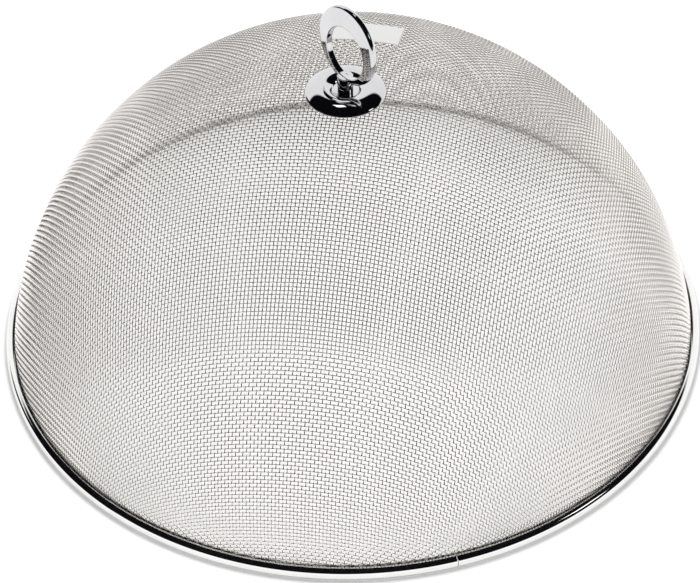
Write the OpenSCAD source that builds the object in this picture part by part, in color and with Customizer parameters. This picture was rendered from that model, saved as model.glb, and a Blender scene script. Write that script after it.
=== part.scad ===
// Food cover: a dome of woven steel wire in a rolled rim, lifted by a cast ring knob on one screw.
// The table is the plane z = 0 and the dome stands on it with its axis along +Z.
// The ring of the knob stands along X and leans back toward +Y, so a finger goes through it along Y.

/* [Cover] */
// Outside diameter over the rim
cover_d = 356; // [280:1:440]
// Height of the dome's crown above the table
dome_h = 159; // [130:1:185]
// Diameter of the wires, which lie two deep where they cross
wire_d = 0.6; // [0.3:0.05:0.8]

/* [Cloth] */
// Rows of openings from the saucer to the rim, a plain grid that stands for the gaps of the weave
gap_rows = 6; // [4:1:6]
// Width of the cloth between neighbouring openings
strand_w = 11; // [8:0.5:14]
// Width of the unbroken cloth round the saucer and above the rim
hem_w = 3; // [2:0.5:8]

/* [Rim] */
// Height of the rolled band
rim_h = 6.8; // [6.4:0.1:9]
// Thickness of the strip that the band is rolled from
strip_t = 0.5; // [0.3:0.05:0.8]
// Height of the lip that hugs the mesh from inside
lip_h = 5.6; // [4.5:0.1:6.2]
// Diameter of the hoop that stiffens the rim
hoop_d = 2.8; // [2:0.1:3.8]
// Clearance round the hoop
hoop_clear = 0.3; // [0.2:0.05:0.5]
// Gap between the mesh and the pieces that lie against it
crimp_gap = 0.1; // [0.05:0.05:0.3]
// Gap between the mesh and the band's upper lip, where the cloth comes out of the rim
mouth_gap = 0.9; // [0.3:0.1:1.2]
// Width of the butt seam where the band's ends meet
seam_gap = 0.3; // [0.2:0.1:1]
// Direction of the seam, anticlockwise from +X
seam_angle = -22.5; // [-40:0.5:-5]

/* [Saucer] */
// Diameter of the saucer under the knob
saucer_d = 40; // [34:1:50]
// Thickness of its sheet
saucer_t = 0.8; // [0.5:0.1:1.2]
// Height of its crest above its edge
crest_h = 4; // [3:0.1:6]
// Diameter of its crest
crest_d = 23; // [20:0.5:28]
// Diameter of the flat floor in its middle
floor_d = 13; // [10:0.5:16]

/* [Knob] */
// Diameter of the finger hole
hole_d = 27.2; // [22:0.2:34]
// Width of the ring below the finger hole
band_low = 2.8; // [2:0.1:5]
// Width of the ring above the finger hole
band_high = 11; // [6:0.5:14]
// Thickness of the ring
ring_t = 3.5; // [3.2:0.1:6]
// Rounding of the ring's outer edges
ring_round = 1.5; // [0.4:0.1:1.5]
// Bevel of the finger hole's edges and the post's top
ring_edge = 0.4; // [0.2:0.1:0.8]
// Diameter of the post
post_d = 7.8; // [7:0.1:9.5]
// Height of the post from the saucer's floor to the ring
post_h = 6.2; // [5:0.1:10]
// How far the ring leans back from upright on the post
ring_lean = 6.5; // [0:0.5:12]

/* [Fastening] */
// Thread diameter of the screw
screw_d = 3; // [2.5:0.5:3.5]
// Length of the screw under its head
screw_l = 10; // [8:0.5:11]
// Diameter of the screw's pan head
head_d = 6; // [5:0.1:7.5]
// Height of the screw's head
head_h = 2; // [1.5:0.1:3]
// Length of the arms of the cross recess
cross_l = 3.4; // [2.5:0.1:4.5]
// Width of the arms of the cross recess
cross_w = 0.8; // [0.5:0.1:1.1]
// Depth of the cross recess
cross_depth = 1.1; // [0.7:0.1:1.4]
// Radial clearance of the screw in the saucer and the backing washer
screw_clear = 0.1; // [0.05:0.01:0.1]
// Radial clearance of the screw's thread in the post
thread_clear = 0.05; // [0.02:0.01:0.1]
// Room beyond the screw's tip
tip_room = 0.5; // [0.3:0.1:1]
// Radial clearance of the screw in the mesh
mesh_clear = 0.4; // [0.2:0.05:0.45]
// Diameter of the backing washer inside the dome
backing_d = 20; // [14:0.5:24]
// Thickness of the backing washer
backing_t = 1; // [0.6:0.1:1.6]
// Margin of the flattened mesh round the backing washer
seat_margin = 1; // [0.5:0.1:3]
// Outside diameter of the spring washer
spring_d = 6; // [5.4:0.1:7.5]
// Thickness of the spring washer
spring_t = 0.8; // [0.6:0.1:1.2]
// Radial clearance of the screw in the spring washer
spring_clear = 0.2; // [0.1:0.05:0.4]
// Width of the spring washer's split
split_w = 0.6; // [0.3:0.1:1.2]

/* [Label] */
// Length of the blank paper label
label_l = 38; // [20:1:60]
// Width of the label
label_w = 25; // [12:1:34]
// Thickness of the label
label_t = 0.15; // [0.1:0.05:0.3]
// Gap under the label where it lies on the wires
label_gap = 0.05; // [0.02:0.01:0.1]
// Direction of the label from the knob, anticlockwise from +X
label_angle = 132; // [0:1:360]
// How far the label lies down the dome, as an angle from its axis
label_incline = 19.5; // [17:0.5:70]

/* [Hidden] */
$fn = 180;

// The cut of a boolean runs this far past the solid
over = 1;

// Rim: the hoop lies in the band's outer corner, so the corners' rounding follows from it
rim_r = cover_d / 2;
corner_r = hoop_d / 2 + hoop_clear + strip_t;
hoop_r = rim_r - corner_r;

// Dome: a cap of a sphere through the crown and a point beside the hoop
mesh_t = 2 * wire_d;
foot_r = hoop_r - hoop_d / 2 - hoop_clear;
foot_rise = dome_h - corner_r;
dome_r = (pow(foot_r, 2) + pow(foot_rise, 2)) / (2 * foot_rise);
dome_z = dome_h - dome_r;

// Radius of a sphere of radius r, centred with the dome, at the height z
function cap_r(r, z) = sqrt(pow(r, 2) - pow(z - dome_z, 2));
// Height of a sphere of radius r, centred with the dome, at the distance x from the axis
function cap_z(r, x) = dome_z + sqrt(pow(r, 2) - pow(x, 2));

// The band's inner lip stands just inside the mesh, and its upper lip ends a little way outside it
lip_r = min(cap_r(dome_r - mesh_t, lip_h), cap_r(dome_r - mesh_t, corner_r)) - crimp_gap;
band_r = lip_r - strip_t;
mouth_r = max(cap_r(dome_r, rim_h), cap_r(dome_r, rim_h - 2 * strip_t)) + mouth_gap;

// The mesh ends just above the rounded corner inside the band
inner_corner = corner_r - strip_t;
edge_reach = max(0, lip_r + inner_corner - cap_r(dome_r - mesh_t, corner_r));
edge_z = corner_r - sqrt(pow(inner_corner, 2) - pow(min(edge_reach, inner_corner), 2)) + crimp_gap;

// The mesh is pressed flat where the knob is clamped
seat_r = backing_d / 2 + seat_margin;
seat_z = cap_z(dome_r, seat_r);

// Grid of openings: its rows lie between the hems, measured as angles from the dome's axis
crown_angle = asin((saucer_d / 2 + hem_w) / dome_r);
foot_angle = acos((rim_h + hem_w - dome_z) / dome_r);
strand_angle = strand_w / dome_r * 180 / PI;
row_step = (foot_angle - crown_angle + strand_angle) / gap_rows;
gap_angle = row_step - strand_angle;

// Saucer: its edge stands on the mesh, its floor on the flat seat
edge_level = cap_z(dome_r, saucer_d / 2) + crimp_gap;
crest_z = edge_level + crest_h;
floor_z = seat_z + saucer_t;

// Knob: the ring stands with its foot on the post
ring_r = (hole_d + band_low + band_high) / 2;
foot_z = floor_z + post_h;
ring_z = foot_z + ring_r;
hole_z = foot_z + band_low + hole_d / 2;
post_top = hole_z - hole_d / 2;

// Fastening: the washers and the head hang below the seat, each on the face of the next
backing_z = seat_z - mesh_t - backing_t;
spring_z = backing_z - spring_t;
tip_z = spring_z + screw_l;

// Square from (x0, z0) to (x1, z1) with corners of radius r
module rounded_rect(x0, x1, z0, z1, r) {
    translate([x0 + r, z0]) square([x1 - x0 - 2 * r, z1 - z0]);
    translate([x0, z0 + r]) square([x1 - x0, z1 - z0 - 2 * r]);
    for (x = [x0 + r, x1 - r], z = [z0 + r, z1 - r]) translate([x, z]) circle(r);
}

// Disc of radius r under the height top, as half of a section through the dome
module capped_disc(r, low, top) {
    intersection() {
        translate([0, dome_z]) circle(r);
        translate([0, low]) square([rim_r, top - low]);
    }
}

// Ring with the z axis through it, from the radius r0 to r1
module washer(r0, r1, z, t) {
    translate([0, 0, z]) difference() {
        cylinder(r = r1, h = t);
        translate([0, 0, -over]) cylinder(r = r0, h = t + 2 * over);
    }
}

// Opening through the dome's wall, from the angle a down to a + gap_angle and over the angle turn about Z
module wall_opening(a, turn) {
    inner = dome_r - mesh_t - over;
    outer = dome_r / cos(gap_angle / 2) + over;
    below = a + gap_angle;
    translate([0, 0, dome_z]) rotate_extrude(angle = turn) polygon([
        inner * [sin(a), cos(a)], outer * [sin(a), cos(a)],
        outer * [sin(below), cos(below)], inner * [sin(below), cos(below)],
    ]);
}

// Rows of openings, with as many round each row as keep them about square
module cloth_gaps() {
    for (row = [0 : gap_rows - 1]) {
        a = crown_angle + row * row_step;
        girth = sin(a + gap_angle / 2);
        count = round(360 * girth / row_step);
        for (i = [0 : count - 1]) rotate([0, 0, i * 360 / count])
            wall_opening(a, 360 / count - strand_angle / girth);
    }
}

// Woven cloth pressed to a dome: two layers of wire thick, with a plain grid of gaps
module mesh_dome() {
    color("gainsboro") difference() {
        rotate_extrude() difference() {
            capped_disc(dome_r, edge_z, seat_z);
            capped_disc(dome_r - mesh_t, edge_z - over, seat_z - mesh_t);
        }
        translate([0, 0, seat_z - mesh_t - over])
            cylinder(r = screw_d / 2 + mesh_clear, h = mesh_t + 2 * over);
        cloth_gaps();
    }
}

// Section of the strip, rolled round the hoop and the edge of the mesh
module band_section() {
    difference() {
        rounded_rect(band_r, rim_r, 0, rim_h, corner_r);
        rounded_rect(lip_r, rim_r - strip_t, strip_t, rim_h - strip_t, inner_corner);
        translate([band_r - over, corner_r]) square([mouth_r - band_r + over, rim_h]);
    }
    translate([band_r, corner_r]) square([strip_t, lip_h - corner_r]);
}

module rim_band() {
    color("silver") difference() {
        rotate_extrude() band_section();
        rotate([0, 0, seam_angle]) translate([band_r - over, -seam_gap / 2, -over])
            cube([rim_r - band_r + 2 * over, seam_gap, rim_h + 2 * over]);
    }
}

module rim_hoop() {
    color("darkgray") rotate_extrude() translate([hoop_r, corner_r]) circle(d = hoop_d);
}

// Sheet of the saucer between its crest and the distance x, rounded over so as to fall to the height z
module crest_flank(x, z, low) {
    width = abs(x - crest_d / 2);
    fall = crest_z - z;
    r = (pow(width, 2) + pow(fall, 2)) / (2 * fall);
    intersection() {
        translate([crest_d / 2, crest_z - r]) difference() {
            circle(r);
            circle(r - saucer_t);
        }
        translate([min(x, crest_d / 2), low]) square([width, crest_z - low]);
    }
}

// Pressed saucer: convex outside its crest, dished inside it, with a flat floor for the post
module knob_saucer() {
    color("whitesmoke") difference() {
        rotate_extrude() {
            crest_flank(saucer_d / 2, edge_level + saucer_t, edge_level);
            crest_flank(floor_d / 2, floor_z, seat_z);
            translate([0, seat_z]) square([floor_d / 2, saucer_t]);
        }
        translate([0, 0, seat_z - over]) cylinder(r = screw_d / 2 + screw_clear, h = saucer_t + 2 * over);
    }
}

// Cylinder of radius r and height h with its upper edge bevelled
module bevelled_post(r, h, bevel) {
    rotate_extrude() polygon([[0, 0], [r, 0], [r, h - bevel], [r - bevel, h], [0, h]]);
}

// Turns what is drawn upright back to the lean of the ring, about the ring's foot
module leaning() {
    translate([0, 0, foot_z]) rotate([-ring_lean, 0, 0]) translate([0, 0, -foot_z]) children();
}

// Finger hole with its two edges bevelled, long enough to pass the post
module finger_hole() {
    cylinder(d = hole_d, h = max(ring_t, post_d) + 2 * over, center = true);
    for (side = [0, 1]) mirror([0, 0, side]) translate([0, 0, ring_t / 2 - ring_edge])
        cylinder(d1 = hole_d, d2 = hole_d + 4 * ring_edge, h = 2 * ring_edge);
}

// One casting: a flat ring, wider above its hole, on a round post that takes the screw
module knob_ring() {
    color("whitesmoke") difference() {
        union() {
            leaning() translate([0, 0, ring_z]) rotate([90, 0, 0]) rotate_extrude() intersection() {
                rounded_rect(-ring_r, ring_r, -ring_t / 2, ring_t / 2, ring_round);
                translate([0, -ring_t]) square([2 * ring_r, 2 * ring_t]);
            }
            translate([0, 0, floor_z]) bevelled_post(post_d / 2, post_top - floor_z, ring_edge);
        }
        leaning() translate([0, 0, hole_z]) rotate([90, 0, 0]) finger_hole();
        translate([0, 0, floor_z - over])
            cylinder(r = screw_d / 2 + thread_clear, h = tip_z + tip_room - floor_z + over);
    }
}

// Pan-head screw with a cross recess in its head, driven from inside the dome
module knob_screw() {
    round_r = head_h / 2;
    color("lightgray") difference() {
        union() {
            translate([0, 0, spring_z - over]) cylinder(d = screw_d, h = screw_l + over);
            rotate_extrude() intersection() {
                rounded_rect(-head_d / 2, head_d / 2, spring_z - head_h, spring_z + head_h, round_r);
                translate([0, spring_z - head_h]) square([head_d, head_h]);
            }
        }
        for (a = [0, 90]) rotate([0, 0, a])
            translate([-cross_l / 2, -cross_w / 2, spring_z - head_h - over])
                cube([cross_l, cross_w, cross_depth + over]);
    }
}

// Split washer, pressed flat under the screw's head
module spring_washer() {
    hole_r = screw_d / 2 + spring_clear;
    color("gray") difference() {
        washer(hole_r, spring_d / 2, spring_z, spring_t);
        translate([0, -split_w / 2, spring_z - over]) cube([spring_d, split_w, spring_t + 2 * over]);
    }
}

// Flat washer that backs the mesh inside the dome
module backing_washer() {
    color("lightgray") washer(screw_d / 2 + screw_clear, backing_d / 2, backing_z, backing_t);
}

// Blank paper label that follows the curve of the dome
module label() {
    label_r = dome_r + label_gap;
    color("white") translate([0, 0, dome_z]) rotate([0, label_incline, label_angle]) intersection() {
        difference() {
            sphere(label_r + label_t);
            sphere(label_r);
        }
        translate([-label_w / 2, -label_l / 2, label_r / 2]) cube([label_w, label_l, label_r]);
    }
}

mesh_dome();
rim_band();
rim_hoop();
knob_saucer();
knob_ring();
knob_screw();
spring_washer();
backing_washer();
label();
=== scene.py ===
"""Looks of a mesh food cover: woven wire, rolled rim, chrome knob, paper label, floor, light and camera.

Sizes are in millimetres, as in the part's source, and become metres where a mesh, lamp or material is made.
"""

import math

import bpy
import numpy as np
from mathutils import Matrix, Vector


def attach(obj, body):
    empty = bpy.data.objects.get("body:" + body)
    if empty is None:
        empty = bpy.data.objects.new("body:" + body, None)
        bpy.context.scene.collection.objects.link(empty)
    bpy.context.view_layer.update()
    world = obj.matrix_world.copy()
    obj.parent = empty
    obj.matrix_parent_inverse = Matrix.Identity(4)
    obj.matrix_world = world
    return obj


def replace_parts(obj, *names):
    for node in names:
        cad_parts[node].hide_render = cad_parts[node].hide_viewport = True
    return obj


MM = 0.001
TINY = 1e-6

# Cover and rim
COVER_D = 356.0
DOME_H = 159.0
WIRE_D = 0.6
RIM_H = 6.8
STRIP_T = 0.5
LIP_H = 5.6
HOOP_D = 2.8
HOOP_CLEAR = 0.3
CRIMP_GAP = 0.1
MOUTH_GAP = 0.9
SEAM_GAP = 0.3
SEAM_EASE = 0.5
SEAM_ANGLE = math.radians(-22.5)

# Forms of the rim that the solid has in a plainer way: the bead along its inner lip, and a top corner that
# is rounder than the corner round the hoop
BEAD_R = 0.55
TOP_CORNER_R = 3.2

# Saucer, and the degrees by which its arcs stop short of its edge and its floor and turn over its edge
SAUCER_D = 40.0
SAUCER_T = 0.8
CREST_H = 4.0
CREST_D = 23.0
FLOOR_D = 13.0
SCREW_HOLE_R = 1.6
EDGE_SHORT = 3.0
FLOOR_SHORT = 4.0
EDGE_TURN = 45.0

# Knob
HOLE_D = 27.2
BAND_LOW = 2.8
BAND_HIGH = 11.0
RING_T = 3.5
RING_ROUND = 1.5
RING_EDGE = 0.4
POST_D = 7.8
POST_H = 6.2
RING_LEAN = math.radians(6.5)
BORE_R = 1.55

# Seat of the knob on the mesh
SEAT_R = 11.0
MESH_HOLE_R = 1.9

# Label
LABEL_L = 38.0
LABEL_W = 25.0
LABEL_T = 0.15
LABEL_GAP = 0.05
LABEL_ANGLE = math.radians(132)
LABEL_INCLINE = math.radians(19.5)

# Weave: the wires' pitch, how far their net is turned about the dome's axis, and how much of it is laid
# like a flat sheet instead of a fishnet that keeps its pitch
PITCH = 2.0
NET_TURN = math.radians(42)
FLAT_SHARE = 0.38

# Wires: the height of their ends in the rim, the crossings that the net has to spare past them, the sides of
# a wire, and the pieces that warp and weft are each made in
WIRE_END_Z = 1.5
NET_SPARE = 8
WIRE_SIDES = 5
WIRE_GROUPS = 6

# Fineness of the meshes: points round each piece, steps of a corner, and the label's grid
RIM_POINTS = 720
SAUCER_POINTS = 256
POST_POINTS = 128
RING_POINTS = 240
CORNER_STEPS = 8
LABEL_ROWS, LABEL_COLUMNS = 27, 40

# Sides of a section that are long get a point this near to each end, which keeps their shading flat
LONG_SIDE = 0.45
SAUCER_LONG_SIDE = 1.2
HOLD = 0.03

# Margin round the wires' map for baking, as a share of its width
MAP_MARGIN = 0.005

# Grain: detail and roughness of fine noise, and the share of broad patches in a metal's look
FINE_NOISE = (4.0, 0.6)
PATCH_SHARE = 0.6

# Paper: scale of its fibres, share of its quilting, and the depth and strength of their relief
FIBRE_SCALE = 1800.0
QUILT_SHARE = 0.6
PAPER_DEPTH = 0.03
PAPER_RELIEF = 0.6

# Camera, fitted to the photo
IMAGE_W, IMAGE_H = 700, 583
FOCAL_PX = 3800.0
CAMERA_AZIMUTH = math.radians(52)
CAMERA_ELEVATION = math.radians(43.43)
CAMERA_ROLL = math.radians(1.72)
CAMERA_DISTANCE = 1958.0
RIM_CENTRE_PX = (352.56, 327.42)
SENSOR_MM = 36.0

# Floor: half its width, how far it lies under the rim, and its colour
FLOOR_HALF = 4000.0
FLOOR_DROP = 0.2
FLOOR_COLOUR = (0.90, 0.90, 0.90)

# Glow that makes the floor white to the camera and in the metal, and how far from the rim it rises: left out
# beside the rim, it paints a thin shadow round the rim's foot, on the floor and in its reflection in the
# metal, over the floor's real shadow
FLOOR_GLOW = 0.46
PAINTED_SHADOW_REACH = (0.3, 2.5)

# Surround: its light at the horizon and overhead, and its strength where the metal mirrors it
PLAIN_LIGHT = (0.29, 1.12)
MIRRORED_LIGHT = 1.15
WHITE = (1.0, 1.0, 1.0)
DARK = (0.003, 0.003, 0.004)

# Dark ceiling that shows in the polished metal: height of its middle on the camera's side, its soft edge,
# and how much lower it reaches at the camera's left and right
CEILING_ELEVATION = math.radians(70)
CEILING_EDGE = (math.radians(60), math.radians(63))
CEILING_SIDES = 0.3

# Dark panel low at the camera's left, which shows in the metal too: how far round from the camera it stands,
# its height, and its soft edge
PANEL_AZIMUTH = math.radians(-100)
PANEL_ELEVATION = math.radians(5)
PANEL_EDGE = (math.radians(25), math.radians(30))

# Lamps: degrees round from the camera and degrees up, distance, size and watts
LAMPS = {
    "key": (-163, 72, 1600.0, 250.0, 0.5),
    "side": (74, 37, 1600.0, 300.0, 0.6),
}

# Derived sizes, by the same rules as in the source
RIM_R = COVER_D / 2
CORNER_R = HOOP_D / 2 + HOOP_CLEAR + STRIP_T
INNER_CORNER = CORNER_R - STRIP_T
FOOT_R = RIM_R - CORNER_R - HOOP_D / 2 - HOOP_CLEAR
FOOT_RISE = DOME_H - CORNER_R
DOME_R = (FOOT_R**2 + FOOT_RISE**2) / (2 * FOOT_RISE)
DOME_Z = DOME_H - DOME_R
MESH_T = 2 * WIRE_D
MID_R = DOME_R - WIRE_D


def cap_r(r, z):
    """Distance from the axis of a sphere of radius r, centred with the dome, at the height z."""
    return math.sqrt(r**2 - (z - DOME_Z) ** 2)


def cap_z(r, x):
    """Height of that sphere at the distance x from the axis."""
    return DOME_Z + math.sqrt(r**2 - x**2)


LIP_R = min(cap_r(DOME_R - MESH_T, LIP_H), cap_r(DOME_R - MESH_T, CORNER_R)) - CRIMP_GAP
BAND_R = LIP_R - STRIP_T
MOUTH_R = max(cap_r(DOME_R, RIM_H), cap_r(DOME_R, RIM_H - 2 * STRIP_T)) + MOUTH_GAP
SEAT_Z = cap_z(DOME_R, SEAT_R)
EDGE_LEVEL = cap_z(DOME_R, SAUCER_D / 2) + CRIMP_GAP
CREST_Z = EDGE_LEVEL + CREST_H
FLOOR_Z = SEAT_Z + SAUCER_T
RING_R = (HOLE_D + BAND_LOW + BAND_HIGH) / 2
RING_Z = FLOOR_Z + POST_H + RING_R
HOLE_Z = FLOOR_Z + POST_H + BAND_LOW + HOLE_D / 2
POST_TOP = HOLE_Z - HOLE_D / 2


# Materials


class Nodes:
    """Short ways to add and link a material's or world's nodes."""

    def __init__(self, tree):
        self.tree = tree
        tree.nodes.clear()

    def add(self, kind, links=None, **settings):
        node = self.tree.nodes.new(kind)
        for key, value in settings.items():
            setattr(node, key, value)
        for socket, value in (links or {}).items():
            self.put(node.inputs[socket], value)
        return node

    def put(self, socket, value):
        if isinstance(value, bpy.types.NodeSocket):
            self.tree.links.new(value, socket)
        else:
            socket.default_value = value

    def noise(self, vector, scale, detail=3.0, rough=0.5):
        node = self.add(
            "ShaderNodeTexNoise",
            {"Vector": vector, "Scale": scale, "Detail": detail, "Roughness": rough},
        )
        return node.outputs["Fac"]

    def span(self, value, low, high, start=0.3, end=0.7):
        node = self.add(
            "ShaderNodeMapRange",
            {"Value": value, "From Min": start, "From Max": end, "To Min": low, "To Max": high},
        )
        return node.outputs["Result"]

    def blend(self, fac, a, b):
        node = self.add("ShaderNodeMix", data_type="RGBA")
        self.put(node.inputs[0], fac)
        self.put(node.inputs[6], a)
        self.put(node.inputs[7], b)
        return node.outputs[2]

    def math(self, operation, a, b=0.0):
        node = self.add("ShaderNodeMath", operation=operation)
        self.put(node.inputs[0], a)
        self.put(node.inputs[1], b)
        return node.outputs[0]

    def dot(self, a, b):
        node = self.add("ShaderNodeVectorMath", {0: a, 1: b}, operation="DOT_PRODUCT")
        return node.outputs["Value"]

    def bump(self, height, depth, strength):
        node = self.add(
            "ShaderNodeBump", {"Height": height, "Distance": depth * MM, "Strength": strength}
        )
        return node.outputs[0]


def new_material(name):
    material = bpy.data.materials.new(name)
    material.use_nodes = True
    return material, Nodes(material.node_tree)


def rgb(r, g, b):
    return (r, g, b, 1.0)


def metal(name, dark, light, rough, patch, grain, bump=0.0, edge_tint=1.0):
    """Metal with drifts of colour and roughness and a finer grain. An edge tint below 1 dims its outline."""
    material, n = new_material(name)
    place = n.add("ShaderNodeTexCoord").outputs["Object"]
    broad = n.noise(place, patch)
    fine = n.noise(place, grain, *FINE_NOISE)
    both = n.math("ADD", n.math("MULTIPLY", broad, PATCH_SHARE), n.math("MULTIPLY", fine, 1 - PATCH_SHARE))
    links = {
        "Base Color": n.blend(n.span(both, 0.0, 1.0), rgb(*dark), rgb(*light)),
        "Metallic": 1.0,
        "Specular Tint": rgb(edge_tint, edge_tint, edge_tint),
        "Roughness": n.span(both, *rough),
    }
    if bump:
        links["Normal"] = n.bump(fine, bump, 1.0)
    shader = n.add("ShaderNodeBsdfPrincipled", links)
    n.add("ShaderNodeOutputMaterial", {"Surface": shader.outputs[0]})
    return material


def paper(name, dark, light, rough):
    """Coated paper with faint fibres, quilted a little by the wires under it."""
    material, n = new_material(name)
    place = n.add("ShaderNodeTexCoord").outputs["Object"]
    turned = n.add("ShaderNodeMapping", {"Vector": place, "Rotation": (0, 0, -NET_TURN)}).outputs[0]
    axes = n.add("ShaderNodeSeparateXYZ", {"Vector": turned}).outputs
    wave = 2 * math.pi / (PITCH * MM)
    quilt = n.math(
        "MULTIPLY",
        n.math("SINE", n.math("MULTIPLY", axes[0], wave)),
        n.math("SINE", n.math("MULTIPLY", axes[1], wave)),
    )
    fibre = n.noise(place, FIBRE_SCALE, *FINE_NOISE)
    height = n.math("ADD", n.math("MULTIPLY", quilt, QUILT_SHARE), fibre)
    links = {
        "Base Color": n.blend(n.span(fibre, 0.0, 1.0), rgb(*dark), rgb(*light)),
        "Roughness": n.span(fibre, *rough),
        "Normal": n.bump(height, PAPER_DEPTH, PAPER_RELIEF),
    }
    shader = n.add("ShaderNodeBsdfPrincipled", links)
    n.add("ShaderNodeOutputMaterial", {"Surface": shader.outputs[0]})
    return material


# Meshes


def make_object(name, verts, quads, ngons=()):
    """Object from corners in millimetres, an array of quads and a few faces with more corners."""
    mesh = bpy.data.meshes.new(name)
    corners = np.concatenate([np.asarray(quads).ravel(), *ngons]).astype(np.int32)
    counts = np.array([4] * len(quads) + [len(f) for f in ngons])
    starts = np.concatenate([[0], np.cumsum(counts)[:-1]]).astype(np.int32)
    mesh.vertices.add(len(verts))
    mesh.vertices.foreach_set("co", (np.asarray(verts) * MM).astype(np.float32).ravel())
    mesh.loops.add(len(corners))
    mesh.loops.foreach_set("vertex_index", corners)
    mesh.polygons.add(len(counts))
    mesh.polygons.foreach_set("loop_start", starts)
    mesh.polygons.foreach_set("use_smooth", np.ones(len(counts), bool))
    mesh.update(calc_edges=True)
    mesh.validate()
    obj = bpy.data.objects.new(name, mesh)
    bpy.context.scene.collection.objects.link(obj)
    return obj


def join(*shapes):
    """One (verts, quads, ngons) from several."""
    verts, quads, ngons, first = [], [], [], 0
    for v, q, f in shapes:
        verts.append(v)
        quads.append(np.asarray(q) + first)
        ngons += [np.asarray(x) + first for x in f]
        first += len(v)
    return np.concatenate(verts), np.concatenate(quads), ngons


def arc(x, z, r, start, end, steps=CORNER_STEPS):
    """Points of an arc in a section, from one angle to another in degrees."""
    a = np.radians(np.linspace(start, end, steps + 1))
    return [(x + r * math.cos(t), z + r * math.sin(t)) for t in a]


def held(points, long=LONG_SIDE):
    """A closed section with a point near each end of its long straight sides, so that they stay flat."""
    found = []
    for a, b in zip(points, points[1:] + points[:1]):
        a, b = np.array(a), np.array(b)
        length = np.linalg.norm(b - a)
        if length < TINY:
            continue
        found.append(a)
        if length > long:
            found += [a + (b - a) * HOLD / length, b - (b - a) * HOLD / length]
    return np.array(found)


def revolve(section, segments, start=0.0, sweep=2 * math.pi, ease=0.0):
    """Closed section (anticlockwise in distance and height) turned about the z axis, with eased ends."""
    whole = sweep > 2 * math.pi - TINY
    a = start + np.linspace(0, sweep, segments + 1)[: segments + (not whole)]
    if ease:
        a = np.insert(a, (1, len(a) - 1), (a[0] + ease, a[-1] - ease))
    r, z = section[:, 0], section[:, 1]
    rows = np.stack(
        [np.outer(np.cos(a), r), np.outer(np.sin(a), r), np.broadcast_to(z, (len(a), len(z)))], -1
    )
    count = len(section)
    quads = lattice(len(a), count, wrap_rows=whole)
    ends = []
    if not whole:
        ends = [np.arange(count), np.arange(count)[::-1] + (len(a) - 1) * count]
    return rows.reshape(-1, 3), quads, ends


def lattice(rows, columns, wrap_rows=False, wrap_columns=True):
    """Quads between the points of a grid that is stored row by row."""
    i = np.arange(rows if wrap_rows else rows - 1)
    j = np.arange(columns if wrap_columns else columns - 1)
    i, j = (x.ravel() for x in np.meshgrid(i, j, indexing="ij"))
    i1, j1 = (i + 1) % rows, (j + 1) % columns
    return np.stack([i * columns + j, i1 * columns + j, i1 * columns + j1, i * columns + j1], -1)


# Woven wire


def fishnet(step, count):
    """Net of equal sides on the unit sphere, grown out from two great circles that cross at the crown."""
    size = 2 * count + 1
    net = np.full((size, size, 3), np.nan)
    k = np.arange(-count, count + 1) * step
    net[:, count] = np.stack([np.sin(k), 0 * k, np.cos(k)], -1)
    net[count, :] = np.stack([0 * k, np.sin(k), np.cos(k)], -1)
    for si in (1, -1):
        for sj in (1, -1):
            for diagonal in range(2, 2 * count + 1):
                i = np.arange(max(1, diagonal - count), min(count, diagonal - 1) + 1)
                j = diagonal - i
                a = net[count + si * i, count + sj * (j - 1)]
                b = net[count + si * (i - 1), count + sj * j]
                back = net[count + si * (i - 1), count + sj * (j - 1)]
                middle = (a + b) * math.cos(step) / (1 + (a * b).sum(-1, keepdims=True))
                rest = 1 - (middle**2).sum(-1, keepdims=True)
                across = np.cross(a, b)
                across *= np.sqrt(np.where(rest > 0, rest, np.nan))
                across /= np.linalg.norm(np.cross(a, b), axis=-1, keepdims=True)
                one, two = middle + across, middle - across
                far = ((one - back) ** 2).sum(-1) > ((two - back) ** 2).sum(-1)
                net[count + si * i, count + sj * j] = np.where(far[:, None], one, two)
    return net


def sheet_net(step, count):
    """Net of a flat sheet laid on the unit sphere, true along each line from the crown."""
    k = np.arange(-count, count + 1) * step
    u, v = np.meshgrid(k, k, indexing="ij")
    tilt, turn = np.hypot(u, v), np.arctan2(v, u)
    return np.stack(
        [np.sin(tilt) * np.cos(turn), np.sin(tilt) * np.sin(turn), np.cos(tilt)], -1
    )


def woven_net():
    """Crossing points of the wires on the middle surface of the cloth, and the surface's normals there."""
    count = int(math.acos((WIRE_END_Z - DOME_Z) / MID_R) * MID_R / PITCH) + NET_SPARE
    step = PITCH / MID_R
    net = (1 - FLAT_SHARE) * fishnet(step, count) + FLAT_SHARE * sheet_net(step, count)
    net /= np.linalg.norm(net, axis=-1, keepdims=True)
    c, s = math.cos(NET_TURN), math.sin(NET_TURN)
    normal = net @ np.array([[c, s, 0], [-s, c, 0], [0, 0, 1]])
    point = normal * MID_R + (0, 0, DOME_Z)
    seat = SEAT_Z - WIRE_D
    flat = point[..., 2] > seat
    point[flat, 2] = seat
    normal[flat] = (0, 0, 1)
    return point, normal


def wire_runs(point, normal, lift):
    """Wires along the net's first index: lists of points and normals, cut at the rim and round the screw."""
    path = point + normal * (lift * WIRE_D / 2)[..., None]
    with np.errstate(invalid="ignore"):
        kept = (point[..., 2] > WIRE_END_Z) & (np.hypot(point[..., 0], point[..., 1]) > MESH_HOLE_R)
    runs = []
    for column in range(point.shape[1]):
        at = np.flatnonzero(kept[:, column])
        for run in np.split(at, np.flatnonzero(np.diff(at) > 1) + 1):
            if len(run) > 2:
                runs.append((path[run, column], normal[run, column]))
    return runs


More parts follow.
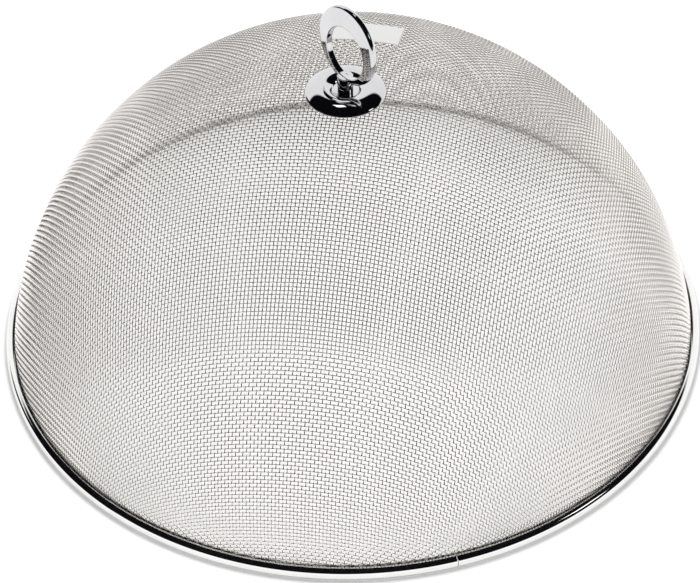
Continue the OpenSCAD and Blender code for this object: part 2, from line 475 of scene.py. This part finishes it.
def tubes(runs):
    """One mesh of round wires along the runs, with closed ends."""
    verts, quads, ends, first = [], [], [], 0
    turn = np.arange(WIRE_SIDES) / WIRE_SIDES * 2 * math.pi
    for path, normal in runs:
        along = np.gradient(path, axis=0)
        side = np.cross(along, normal)
        side /= np.linalg.norm(side, axis=1, keepdims=True)
        up = np.cross(side, along)
        up /= np.linalg.norm(up, axis=1, keepdims=True)
        rings = (
            path[:, None]
            + WIRE_D / 2 * np.cos(turn)[None, :, None] * side[:, None]
            + WIRE_D / 2 * np.sin(turn)[None, :, None] * up[:, None]
        )
        verts.append(rings.reshape(-1, 3))
        quads.append(lattice(len(path), WIRE_SIDES)[:, ::-1] + first)
        ends.append(np.arange(WIRE_SIDES)[::-1] + first)
        first += len(path) * WIRE_SIDES
        ends.append(np.arange(WIRE_SIDES) + first - WIRE_SIDES)
    return np.concatenate(verts), np.concatenate(quads), ends


def crease_rings(obj):
    """Shade each straight stretch of wire by itself, as wire cloth is bent only where its wires cross."""
    mesh = obj.data
    ends = np.zeros(len(mesh.edges) * 2, np.int32)
    mesh.edges.foreach_get("vertices", ends)
    ring = ends.reshape(-1, 2) // WIRE_SIDES
    sharp = mesh.attributes.new("sharp_edge", "BOOLEAN", "EDGE")
    sharp.data.foreach_set("value", ring[:, 0] == ring[:, 1])


def map_from_above(obj):
    """A map for baking that lays each corner out by its distance and direction from the crown."""
    mesh = obj.data
    co = np.zeros(len(mesh.vertices) * 3, np.float32)
    mesh.vertices.foreach_get("co", co)
    p = co.reshape(-1, 3).astype(float) / MM - (0, 0, DOME_Z)
    out = np.hypot(p[:, 0], p[:, 1])
    tilt = np.arctan2(out, p[:, 2])
    flat = p[:, :2] * (tilt / np.maximum(out, TINY))[:, None]
    flat = (flat - flat.min(0)) / np.ptp(flat, axis=0)
    placed = MAP_MARGIN + (1 - 2 * MAP_MARGIN) * flat
    corner = np.zeros(len(mesh.loops), np.int32)
    mesh.loops.foreach_get("vertex_index", corner)
    layer = mesh.uv_layers.new(name="OFBake", do_init=False)
    layer.uv.foreach_set("vector", placed[corner].astype(np.float32).ravel())


def build_wires(material):
    """Warp and weft that pass over and under each other, each in a few pieces."""
    point, normal = woven_net()
    i, j = np.indices(point.shape[:2])
    lift = np.where((i + j) % 2, 1.0, -1.0)
    for kind, runs in (
        ("warp", wire_runs(point, normal, lift)),
        ("weft", wire_runs(point.swapaxes(0, 1), normal.swapaxes(0, 1), -lift.T)),
    ):
        ends = np.cumsum([len(path) for path, _ in runs])
        group = np.minimum(ends * WIRE_GROUPS // ends[-1], WIRE_GROUPS - 1)
        for g in range(WIRE_GROUPS):
            verts, quads, caps = tubes([runs[k] for k in np.flatnonzero(group == g)])
            wires = make_object(f"{kind}_wires_{g + 1}", verts, quads, caps)
            crease_rings(wires)
            map_from_above(wires)
            wires.data.materials.append(material)
            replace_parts(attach(wires, "cover"), "mesh_dome")


# Rim, saucer, knob and label


def build_rim(material):
    """Strip rolled round the hoop and the cloth's edge, with a beaded inner lip and a butt seam."""
    top = (RIM_R - TOP_CORNER_R, RIM_H - TOP_CORNER_R)
    outside = (RIM_R - CORNER_R, CORNER_R)
    inside = (BAND_R + CORNER_R, CORNER_R)
    bead_end = 360 - math.degrees(math.acos((BEAD_R - STRIP_T) / BEAD_R))
    section = [(MOUTH_R, RIM_H), (MOUTH_R, RIM_H - STRIP_T)]
    section += arc(*top, TOP_CORNER_R - STRIP_T, 90, 0)
    section += arc(*outside, INNER_CORNER, 0, -90)
    section += arc(*inside, INNER_CORNER, 270, 180)
    section += arc(LIP_R - BEAD_R, LIP_H - BEAD_R, BEAD_R, 0, bead_end, steps=20)
    section += arc(*inside, CORNER_R, 180, 270)
    section += arc(*outside, CORNER_R, -90, 0)
    section += arc(*top, TOP_CORNER_R, 0, 90, steps=12)
    gap = SEAM_GAP / RIM_R
    rim = make_object(
        "rolled_rim",
        *revolve(held(section), RIM_POINTS, SEAM_ANGLE + gap / 2, 2 * math.pi - gap, SEAM_EASE / RIM_R),
    )
    rim.data.materials.append(material)
    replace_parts(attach(rim, "cover"), "rim_band")


def flank(x, fall):
    """Radius of the saucer's top from its crest to the distance x, and the angle that it turns through."""
    width = abs(x - CREST_D / 2)
    r = (width**2 + fall**2) / (2 * fall)
    return r, math.degrees(math.asin(width / r))


def build_saucer(material):
    """Pressed saucer with a rounded edge, a crest and a dished middle."""
    out_r, out_turn = flank(SAUCER_D / 2, CREST_Z - EDGE_LEVEL - SAUCER_T)
    in_r, in_turn = flank(FLOOR_D / 2, CREST_Z - FLOOR_Z)
    out = (CREST_D / 2, CREST_Z - out_r)
    within = (CREST_D / 2, CREST_Z - in_r)
    edge_r = SAUCER_T / 2
    edge = SAUCER_D / 2 - edge_r
    section = [(SCREW_HOLE_R, SEAT_Z), (FLOOR_D / 2, SEAT_Z)]
    section += arc(*within, in_r - SAUCER_T, 90 + in_turn, 90, steps=12)
    section += arc(*out, out_r - SAUCER_T, 90, 90 - out_turn + EDGE_SHORT, steps=16)
    section += [(edge, EDGE_LEVEL)]
    section += arc(edge, EDGE_LEVEL + edge_r, edge_r, -90, EDGE_TURN, steps=6)
    section += arc(*out, out_r, 90 - out_turn + EDGE_SHORT, 90, steps=24)
    section += arc(*within, in_r, 90, 90 + in_turn - FLOOR_SHORT, steps=16)
    section += [(FLOOR_D / 2, FLOOR_Z), (SCREW_HOLE_R, FLOOR_Z)]
    saucer = make_object("pressed_saucer", *revolve(held(section, SAUCER_LONG_SIDE), SAUCER_POINTS))
    saucer.data.materials.append(material)
    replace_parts(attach(saucer, "cover"), "knob_saucer")


def ring_shape():
    """Flat ring with rounded edges, wider above its hole than below, leaning back on its foot."""
    turn = np.linspace(0, 2 * math.pi, RING_POINTS, endpoint=False)
    glow_beyond_painted_shadow = RING_Z - HOLE_Z
    outer = glow_beyond_painted_shadow * np.sin(turn) + np.sqrt(RING_R**2 - (glow_beyond_painted_shadow * np.cos(turn)) ** 2)
    half = RING_T / 2
    inner = np.full(RING_POINTS, HOLE_D / 2)
    corners = (
        (outer - RING_ROUND, half - RING_ROUND, RING_ROUND, 0),
        (inner + RING_EDGE, half - RING_EDGE, RING_EDGE, 90),
        (inner + RING_EDGE, RING_EDGE - half, RING_EDGE, 180),
        (outer - RING_ROUND, RING_ROUND - half, RING_ROUND, 270),
    )
    columns = []
    for out, y, e, start in corners:
        points = arc(out, y, e, start, start + 90)
        first, last = (math.radians(t) for t in (start, start + 90))
        columns.append((points[0][0] + HOLD * math.sin(first), points[0][1] - HOLD * math.cos(first)))
        columns += points
        columns.append((points[-1][0] - HOLD * math.sin(last), points[-1][1] + HOLD * math.cos(last)))
    away = np.stack([out for out, _ in columns], 1)
    y = np.array([y for _, y in columns])
    rows = np.stack(
        [
            away * np.cos(turn)[:, None],
            np.broadcast_to(y, away.shape),
            HOLE_Z + away * np.sin(turn)[:, None],
        ],
        -1,
    )
    c, s = math.cos(RING_LEAN), math.sin(RING_LEAN)
    foot = np.array([0, 0, FLOOR_Z + POST_H])
    leaned = (rows.reshape(-1, 3) - foot) @ np.array([[1, 0, 0], [0, c, -s], [0, s, c]]) + foot
    return leaned, lattice(RING_POINTS, len(columns), wrap_rows=True), []


def build_knob(material):
    """One casting: the flat ring on a round post."""
    post_r = POST_D / 2
    section = [(BORE_R, FLOOR_Z), (post_r - RING_EDGE / 2, FLOOR_Z), (post_r, FLOOR_Z + RING_EDGE / 2)]
    section += arc(post_r - RING_EDGE, POST_TOP - RING_EDGE, RING_EDGE, 0, 90)
    section += [(BORE_R, POST_TOP)]
    knob = make_object("ring_knob", *join(ring_shape(), revolve(held(section), POST_POINTS)))
    knob.data.materials.append(material)
    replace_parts(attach(knob, "knob"), "knob_ring")


def build_label(material):
    """Blank label that follows the dome."""
    x, y = np.meshgrid(
        np.linspace(-LABEL_W / 2, LABEL_W / 2, LABEL_ROWS),
        np.linspace(-LABEL_L / 2, LABEL_L / 2, LABEL_COLUMNS),
        indexing="ij",
    )
    sides = [DOME_R + LABEL_GAP + LABEL_T, DOME_R + LABEL_GAP]
    faces = [np.stack([x, y, np.sqrt(r**2 - x**2 - y**2)], -1).reshape(-1, 3) for r in sides]
    turn = Matrix.Rotation(LABEL_ANGLE, 3, "Z") @ Matrix.Rotation(LABEL_INCLINE, 3, "Y")
    verts = np.concatenate(faces) @ np.array(turn).T + (0, 0, DOME_Z)
    top = lattice(LABEL_ROWS, LABEL_COLUMNS, wrap_columns=False)
    count = LABEL_ROWS * LABEL_COLUMNS
    index = np.arange(count).reshape(LABEL_ROWS, LABEL_COLUMNS)
    edge = np.concatenate(
        [index[0, :-1], index[:-1, -1], index[-1, :0:-1], index[:0:-1, 0]]
    )
    after = np.roll(edge, -1)
    wall = np.stack([edge, after, after + count, edge + count], -1)
    label = make_object("paper_label", verts, np.concatenate([top, top[:, ::-1] + count, wall]))
    label.data.materials.append(material)
    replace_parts(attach(label, "cover"), "label")


# Stage


def direction(azimuth, elevation):
    """Unit vector from the object, round from the front by the azimuth and up by the elevation."""
    level = math.cos(elevation)
    return Vector((math.sin(azimuth) * level, -math.cos(azimuth) * level, math.sin(elevation)))


CAMERA_BACK = direction(CAMERA_AZIMUTH, CAMERA_ELEVATION)
CAMERA_RIGHT = direction(CAMERA_AZIMUTH + math.pi / 2, 0)


def build_floor():
    """Pale floor that keeps the shadow, and glows to the camera and in the metal, but not beside the rim,
    where the missing glow is a painted shadow round the rim's foot.
    """
    square = ((-1, -1), (1, -1), (1, 1), (-1, 1))
    corners = np.array([(x * FLOOR_HALF, y * FLOOR_HALF, -FLOOR_DROP) for x, y in square])
    floor = make_object("floor", corners, np.array([[0, 1, 2, 3]]))
    material, n = new_material("floor_paper")
    path = n.add("ShaderNodeLightPath").outputs
    seen = n.math(
        "MAXIMUM",
        n.math("MAXIMUM", path["Is Camera Ray"], path["Is Glossy Ray"]),
        path["Is Transmission Ray"],
    )
    place = n.add("ShaderNodeTexCoord").outputs["Object"]
    away = n.add("ShaderNodeVectorMath", {0: place}, operation="LENGTH").outputs["Value"]
    # Painted shadow: the glow fades out near the rim's foot, which darkens the floor there to the camera and
    # in the metal
    beside = n.math("ABSOLUTE", n.math("SUBTRACT", away, RIM_R * MM))
    glow_beyond_painted_shadow = n.span(beside, 0.0, FLOOR_GLOW, PAINTED_SHADOW_REACH[0] * MM, PAINTED_SHADOW_REACH[1] * MM)
    glow = n.add("ShaderNodeEmission", {"Color": rgb(*WHITE), "Strength": n.math("MULTIPLY", seen, glow_beyond_painted_shadow)})
    matt = n.add("ShaderNodeBsdfDiffuse", {"Color": rgb(*FLOOR_COLOUR)})
    both = n.add("ShaderNodeAddShader", {0: glow.outputs[0], 1: matt.outputs[0]})
    n.add("ShaderNodeOutputMaterial", {"Surface": both.outputs[0]})
    floor.data.materials.append(material)


def soft_disc(n, near, edge):
    """1 inside a disc's soft edge and 0 outside it, from the cosine of the angle to its middle."""
    return n.span(near, 0.0, 1.0, math.cos(edge[1]), math.cos(edge[0]))


def build_world():
    """White surround, with a dark ceiling and a dark panel that only the metal's reflections show."""
    world = bpy.data.worlds.new("studio")
    bpy.context.scene.world = world
    world.use_nodes = True
    n = Nodes(world.node_tree)
    ray = n.add("ShaderNodeTexCoord").outputs["Generated"]
    aside = n.dot(ray, CAMERA_RIGHT)
    lower = n.math("MULTIPLY", n.math("MULTIPLY", aside, aside), CEILING_SIDES)
    near = n.math("ADD", n.dot(ray, direction(CAMERA_AZIMUTH, CEILING_ELEVATION)), lower)
    ceiling = soft_disc(n, near, CEILING_EDGE)
    near = n.dot(ray, direction(CAMERA_AZIMUTH + PANEL_AZIMUTH, PANEL_ELEVATION))
    panel = soft_disc(n, near, PANEL_EDGE)
    room = n.blend(n.math("MAXIMUM", ceiling, panel), rgb(*WHITE), rgb(*DARK))
    height = n.add("ShaderNodeSeparateXYZ", {"Vector": ray}).outputs["Z"]
    level = n.span(height, *PLAIN_LIGHT, 0.0, 1.0)
    plain = n.add("ShaderNodeBackground", {"Color": rgb(*WHITE), "Strength": level})
    mirrored = n.add("ShaderNodeBackground", {"Color": room, "Strength": MIRRORED_LIGHT})
    seen = n.add("ShaderNodeBackground", {"Color": rgb(*WHITE), "Strength": 1.0})
    path = n.add("ShaderNodeLightPath").outputs
    shiny = n.math("MAXIMUM", path["Is Glossy Ray"], path["Is Transmission Ray"])
    unseen = n.add("ShaderNodeMixShader", {0: shiny, 1: plain.outputs[0], 2: mirrored.outputs[0]})
    whole = n.add(
        "ShaderNodeMixShader", {0: path["Is Camera Ray"], 1: unseen.outputs[0], 2: seen.outputs[0]}
    )
    n.add("ShaderNodeOutputWorld", {"Surface": whole.outputs[0]})


def build_lamp(name, azimuth, elevation, distance, size, power):
    """Soft square lamp that looks at the dome."""
    back = direction(CAMERA_AZIMUTH + math.radians(azimuth), math.radians(elevation))
    data = bpy.data.lights.new(name, "AREA")
    data.shape, data.size, data.energy = "SQUARE", size * MM, power
    lamp = bpy.data.objects.new(name, data)
    lamp.location = Vector((0, 0, DOME_H * MM / 2)) + back * (distance * MM)
    lamp.rotation_euler = (-back).to_track_quat("-Z", "Y").to_euler()
    bpy.context.scene.collection.objects.link(lamp)


def build_camera():
    """Camera at the photo's angle, aimed so that the rim's centre falls where it does there."""
    c, s = math.cos(CAMERA_ROLL), math.sin(CAMERA_ROLL)
    up = CAMERA_BACK.cross(CAMERA_RIGHT)
    right, up = CAMERA_RIGHT * c - up * s, up * c + CAMERA_RIGHT * s
    ahead = (
        -CAMERA_BACK
        - right * ((RIM_CENTRE_PX[0] - IMAGE_W / 2) / FOCAL_PX)
        + up * ((RIM_CENTRE_PX[1] - IMAGE_H / 2) / FOCAL_PX)
    ).normalized()
    right = (right - ahead * right.dot(ahead)).normalized()
    up = right.cross(ahead)
    data = bpy.data.cameras.new("camera")
    data.sensor_fit, data.sensor_width = "HORIZONTAL", SENSOR_MM
    data.lens = FOCAL_PX / IMAGE_W * SENSOR_MM
    camera = bpy.data.objects.new("camera", data)
    turn = Matrix((right, up, -ahead)).transposed().to_4x4()
    camera.matrix_world = Matrix.Translation(CAMERA_BACK * CAMERA_DISTANCE * MM) @ turn
    bpy.context.scene.collection.objects.link(camera)
    bpy.context.scene.camera = camera


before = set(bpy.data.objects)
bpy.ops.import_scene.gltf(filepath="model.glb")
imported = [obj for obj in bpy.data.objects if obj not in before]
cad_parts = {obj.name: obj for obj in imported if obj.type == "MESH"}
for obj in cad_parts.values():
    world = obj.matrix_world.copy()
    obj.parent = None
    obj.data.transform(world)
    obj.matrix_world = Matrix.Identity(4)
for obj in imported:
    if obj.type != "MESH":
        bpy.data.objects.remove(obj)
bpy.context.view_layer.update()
bpy.context.scene.view_settings.view_transform = "Standard"

chrome = metal(
    "chrome", (0.58, 0.58, 0.59), (0.65, 0.65, 0.66), rough=(0.02, 0.05), patch=60.0, grain=700.0
)
rim_steel = metal(
    "rim_steel", (0.76, 0.76, 0.75), (0.84, 0.84, 0.83), rough=(0.03, 0.08), patch=40.0, grain=900.0
)
wire_steel = metal(
    "wire_steel", (0.91, 0.885, 0.86), (0.98, 0.955, 0.93), rough=(0.04, 0.10), patch=30.0, grain=900.0,
    bump=0.002, edge_tint=0.8,
)
drawn_wire = metal(
    "drawn_wire", (0.45, 0.45, 0.45), (0.62, 0.62, 0.62), rough=(0.25, 0.4), patch=90.0, grain=1500.0
)
zinc = metal(
    "zinc", (0.50, 0.51, 0.53), (0.72, 0.73, 0.75), rough=(0.28, 0.45), patch=400.0, grain=2500.0,
    bump=0.01,
)
label_paper = paper("label_paper", (0.90, 0.90, 0.89), (0.95, 0.95, 0.94), rough=(0.42, 0.55))

build_wires(wire_steel)
build_rim(rim_steel)
build_saucer(chrome)
build_knob(chrome)
build_label(label_paper)
for node, material, slot in (
    ("rim_hoop", drawn_wire, "hoop_steel"),
    ("knob_screw", zinc, "zinc_steel"),
    ("spring_washer", zinc, "zinc_steel"),
    ("backing_washer", zinc, "zinc_steel"),
):
    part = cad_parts[node]
    part.data.materials.clear()
    part.data.materials.append(material)

build_floor()
build_world()
for name, values in LAMPS.items():
    build_lamp(name, *values)
build_camera()
